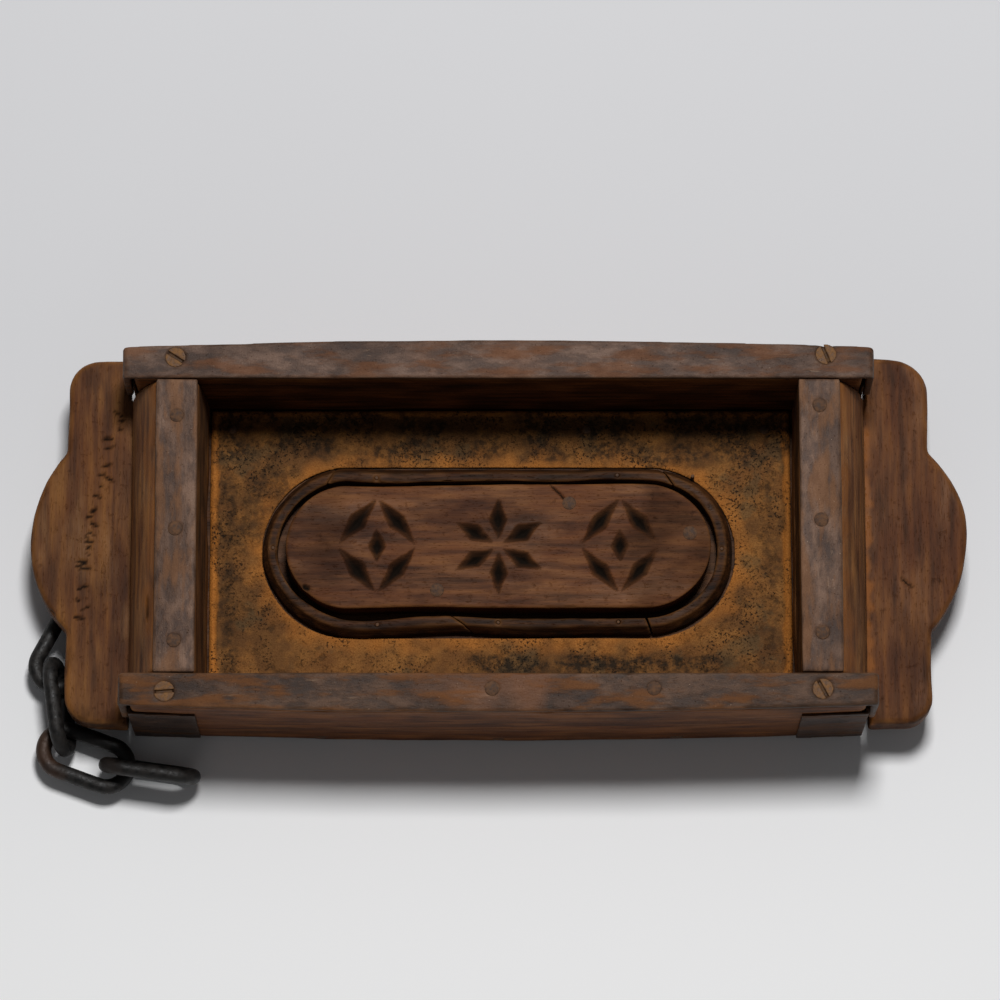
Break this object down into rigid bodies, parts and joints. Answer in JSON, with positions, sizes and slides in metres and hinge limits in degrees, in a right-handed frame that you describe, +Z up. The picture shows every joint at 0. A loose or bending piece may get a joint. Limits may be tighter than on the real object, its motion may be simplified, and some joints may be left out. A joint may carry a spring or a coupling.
{
  "type": "wooden brick mould",
  "caption": "Open wooden box mould for one clay brick, with scalloped end handles, iron-bound rims, a raised carved plaque inside and a short length of forged chain.",
  "frame": {"origin": "centre of the base board's underside", "axes": "+X along the brick, from the chained handle to the plain one; +Z up, out of the open top; +Y away from the side the chain lies on"},
  "size_m": [0.4018, 0.1866, 0.0707],
  "materials": {
    "base_wood": "dark, clay-stained softwood",
    "handle_wood": "hand-worn, oiled brown hardwood",
    "wall_wood": "dark, weathered hardwood",
    "plaque_wood": "carved hardwood, clay in the cuts",
    "bead_wood": "dark worn hardwood moulding",
    "rim_iron": "purple-brown patina, rubbed bright on the arrises",
    "plate_iron": "dark patina",
    "rusted_sheet": "pitted orange rust and dried clay",
    "screw_brass": "dull, rust-stained",
    "nail_steel": "rusted, worn heads",
    "chain_iron": "black forge scale"
  },
  "bodies": {
    "mould": {"base_board": "base_wood", "handle_board_left": "handle_wood", "handle_board_right": "handle_wood", "long_wall_near": "wall_wood", "long_wall_far": "wall_wood", "end_wall_left": "wall_wood", "end_wall_right": "wall_wood", "frog_plaque": "plaque_wood", "bead_near": "bead_wood", "bead_far": "bead_wood", "bead_left": "bead_wood", "bead_right": "bead_wood", "rim_strap_near": "rim_iron", "rim_strap_far": "rim_iron", "end_strip_left": "rim_iron", "end_strip_right": "rim_iron", "corner_plate_near_left": "plate_iron", "corner_plate_near_right": "plate_iron", "corner_plate_far_left": "plate_iron", "corner_plate_far_right": "plate_iron", "floor_liner": "rusted_sheet", "rim_screws": "screw_brass", "rim_nails": "nail_steel", "end_strip_nails": "nail_steel", "plaque_nails": "nail_steel", "bead_pins": "nail_steel", "handle_nails": "nail_steel", "wall_nails": "nail_steel", "corner_plate_nails": "nail_steel", "liner_tacks": "nail_steel", "chain_staple": "chain_iron"},
    "link_1": {"chain_link_1": "chain_iron"},
    "link_2": {"chain_link_2": "chain_iron"},
    "link_3": {"chain_link_3": "chain_iron"},
    "link_4": {"chain_link_4": "chain_iron"}
  },
  "joints": [
    {"name": "link_1_swing", "type": "hinge", "parent": "mould", "child": "link_1", "pos_m": [-0.18048, -0.03211, 0.00819], "axis": [0, 0, -1], "range_deg": [0, 35]},
    {"name": "link_2_lift", "type": "hinge", "parent": "link_1", "child": "link_2", "pos_m": [-0.189, -0.0577, 0.01], "axis": [-0.9903, -0.1392, 0], "range_deg": [-60, 2]},
    {"name": "link_3_swing", "type": "hinge", "parent": "link_2", "child": "link_3", "pos_m": [-0.18508, -0.08563, 0.01], "axis": [-0.2059, -0.0289, 0.9781], "range_deg": [-80, 3]},
    {"name": "link_4_lift", "type": "hinge", "parent": "link_3", "child": "link_4", "pos_m": [-0.15811, -0.0934, 0.01], "axis": [-0.1392, -0.9903, 0], "range_deg": [-20, 75]}
  ]
}
